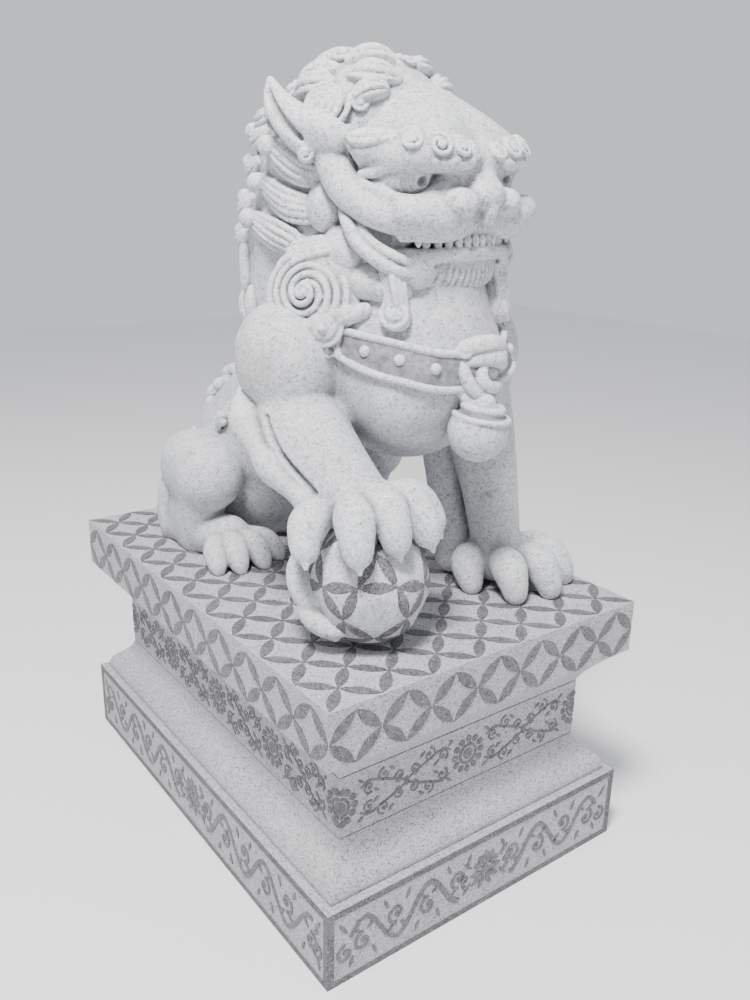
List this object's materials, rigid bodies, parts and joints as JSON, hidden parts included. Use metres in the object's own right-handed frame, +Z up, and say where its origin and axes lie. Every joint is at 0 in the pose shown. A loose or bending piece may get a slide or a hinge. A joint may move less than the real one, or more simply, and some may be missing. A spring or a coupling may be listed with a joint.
{
  "type": "guardian lion statue",
  "caption": "Seated stone guardian lion with curled mane, collar and chest bell, its paw on an embroidered ball, on a moulded plinth carved with lattice and scrolls.",
  "frame": {"origin": "middle of the plinth's bottom face, on the ground", "axes": "+X to the lion's left, +Y towards its back, so the lion and the plinth's front face look along -Y, +Z up"},
  "size_m": [0.85, 1.22, 1.8002],
  "materials": {
    "granite_carved": "pale grey speckled granite, bush-hammered and weathered",
    "granite_plinth": "grey granite, sandblasted ground with honed scrolls and frames",
    "granite_honed": "grey granite, honed dark figures on a sandblasted ground",
    "mortar": "raked cement mortar",
    "stainless_steel": "plain ground bar"
  },
  "bodies": {
    "root": {"base_course": "granite_plinth", "moulding_course": "granite_plinth", "waist_course": "granite_honed", "top_slab": "granite_honed", "mortar_bed_lower": "mortar", "mortar_bed_middle": "mortar", "mortar_bed_upper": "mortar", "base_dowels": "stainless_steel", "waist_dowels": "stainless_steel", "slab_dowels": "stainless_steel", "lion_dowels": "stainless_steel", "torso": "granite_carved", "head": "granite_carved", "brows": "granite_carved", "eyes": "granite_carved", "nose": "granite_carved", "lower_jaw": "granite_carved", "teeth": "granite_carved", "ears": "granite_carved", "cheek_folds": "granite_carved", "mane_crown": "granite_carved", "mane_back": "granite_carved", "mane_right": "granite_carved", "mane_left": "granite_carved", "shoulder_swirls": "granite_carved", "beard": "granite_carved", "collar": "granite_carved", "collar_studs": "granite_carved", "tassel_knot": "granite_carved", "chest_bell": "granite_carved", "foreleg_right": "granite_carved", "forepaw_right": "granite_carved", "foreleg_left": "granite_carved", "forepaw_left": "granite_carved", "hind_leg_right": "granite_carved", "hind_paw_right": "granite_carved", "hind_leg_left": "granite_carved", "hind_paw_left": "granite_carved", "tail": "granite_carved", "embroidered_ball": "granite_carved", "ball_ribbon": "granite_carved"}
  },
  "joints": []
}
